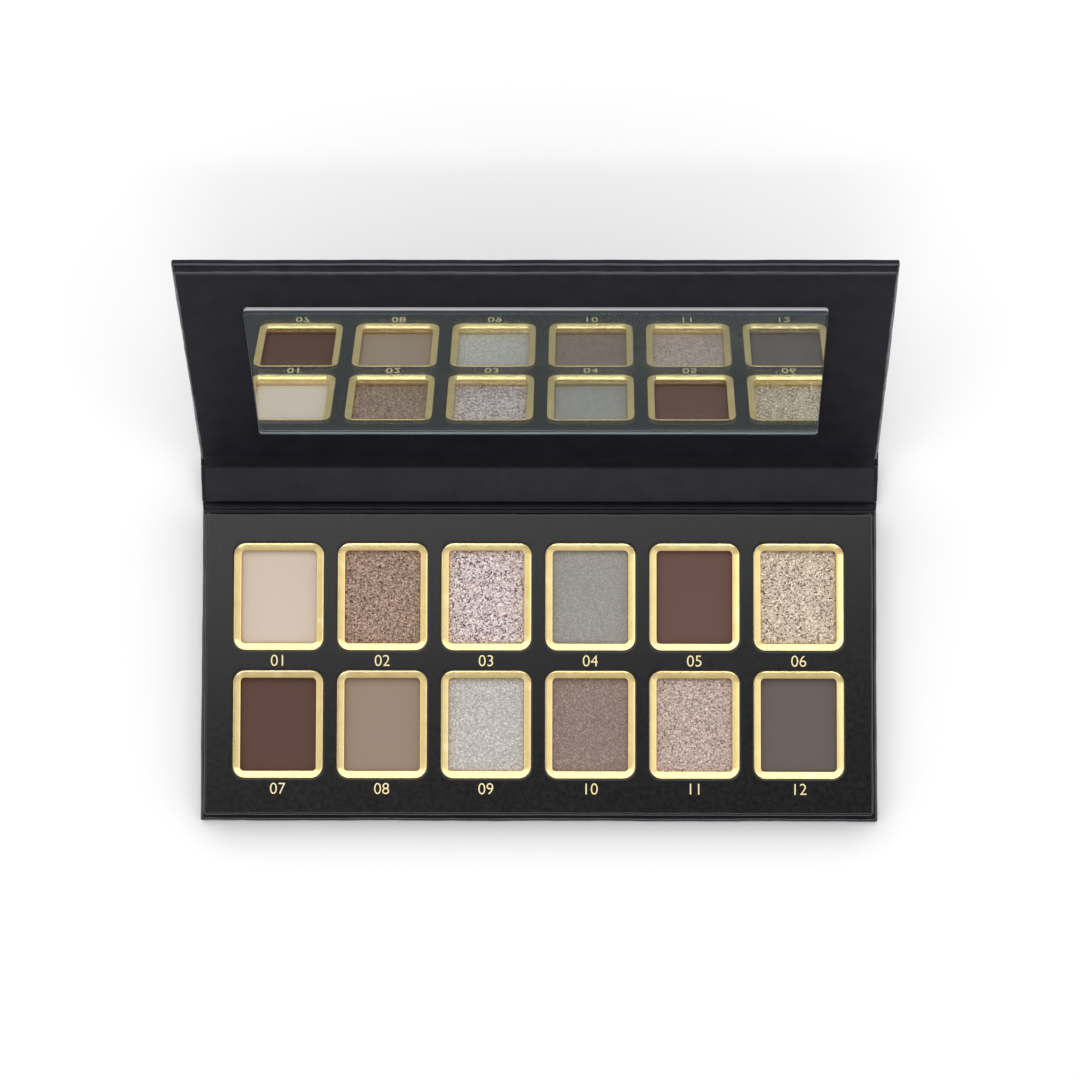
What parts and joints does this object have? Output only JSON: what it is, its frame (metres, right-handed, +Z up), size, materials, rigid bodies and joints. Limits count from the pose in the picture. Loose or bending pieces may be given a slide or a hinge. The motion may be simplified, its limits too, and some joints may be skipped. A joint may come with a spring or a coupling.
{
  "type": "eyeshadow palette",
  "caption": "Book-style cardboard eyeshadow palette with gold-rimmed pans of pressed powder in a black tray, and a mirrored lid on a folding spine.",
  "frame": {"origin": "centre of the base's underside, where the palette rests on a table (the middle of the cover's width and of the depth from the front edge to the rear crease)", "axes": "+X along the creases, to the right of a person who faces the mirror; +Y from the front edge towards the spine; +Z up"},
  "size_m": [0.1812, 0.1399, 0.0791],
  "materials": {
    "cover_paper": "satin",
    "tray_paper": "satin",
    "grey_board": "matte",
    "glue": "matte",
    "gold_foil": "polished",
    "tinplate": "satin",
    "magnet_steel": "polished",
    "mirror_glass": "polished",
    "mirror_silver": "polished",
    "shade_01": "matte",
    "shade_02": "shimmer",
    "shade_03": "glitter",
    "shade_04": "satin",
    "shade_05": "matte",
    "shade_06": "glitter",
    "shade_07": "matte",
    "shade_08": "matte",
    "shade_09": "shimmer",
    "shade_10": "satin",
    "shade_11": "shimmer",
    "shade_12": "matte"
  },
  "bodies": {
    "base": {"bottom_board": "grey_board", "bottom_wrap": "cover_paper", "base_glue_sheet": "glue", "well_board": "grey_board", "frame_board": "grey_board", "tray_band": "tray_paper", "tray_card": "tray_paper", "base_magnets": "magnet_steel", "pan_glue_pads": "glue", "pan_01": "tinplate", "pan_02": "tinplate", "pan_03": "tinplate", "pan_04": "tinplate", "pan_05": "tinplate", "pan_06": "tinplate", "pan_07": "tinplate", "pan_08": "tinplate", "pan_09": "tinplate", "pan_10": "tinplate", "pan_11": "tinplate", "pan_12": "tinplate", "powder_01": "shade_01", "powder_02": "shade_02", "powder_03": "shade_03", "powder_04": "shade_04", "powder_05": "shade_05", "powder_06": "shade_06", "powder_07": "shade_07", "powder_08": "shade_08", "powder_09": "shade_09", "powder_10": "shade_10", "powder_11": "shade_11", "powder_12": "shade_12", "gold_trim_01": "gold_foil", "gold_trim_02": "gold_foil", "gold_trim_03": "gold_foil", "gold_trim_04": "gold_foil", "gold_trim_05": "gold_foil", "gold_trim_06": "gold_foil", "gold_trim_07": "gold_foil", "gold_trim_08": "gold_foil", "gold_trim_09": "gold_foil", "gold_trim_10": "gold_foil", "gold_trim_11": "gold_foil", "gold_trim_12": "gold_foil"},
    "spine": {"spine_board": "grey_board", "spine_wrap": "cover_paper", "spine_lining": "cover_paper"},
    "lid": {"lid_board": "grey_board", "lid_wrap": "cover_paper", "lid_panel_board": "grey_board", "lid_panel_wrap": "cover_paper", "lid_catch_plates": "magnet_steel", "mirror_tape": "glue", "mirror_backing": "mirror_silver", "mirror_glass": "mirror_glass"}
  },
  "joints": [
    {"name": "rear_crease", "type": "hinge", "parent": "base", "child": "spine", "pos_m": [0, 0.0417, 0.00015], "axis": [1, 0, 0], "range_deg": [-15.9, 74.1]},
    {"name": "lid_crease", "type": "hinge", "parent": "spine", "child": "lid", "pos_m": [0, 0.05776, 0.00473], "axis": [1, 0, 0], "range_deg": [-45.15, 44.85]}
  ]
}
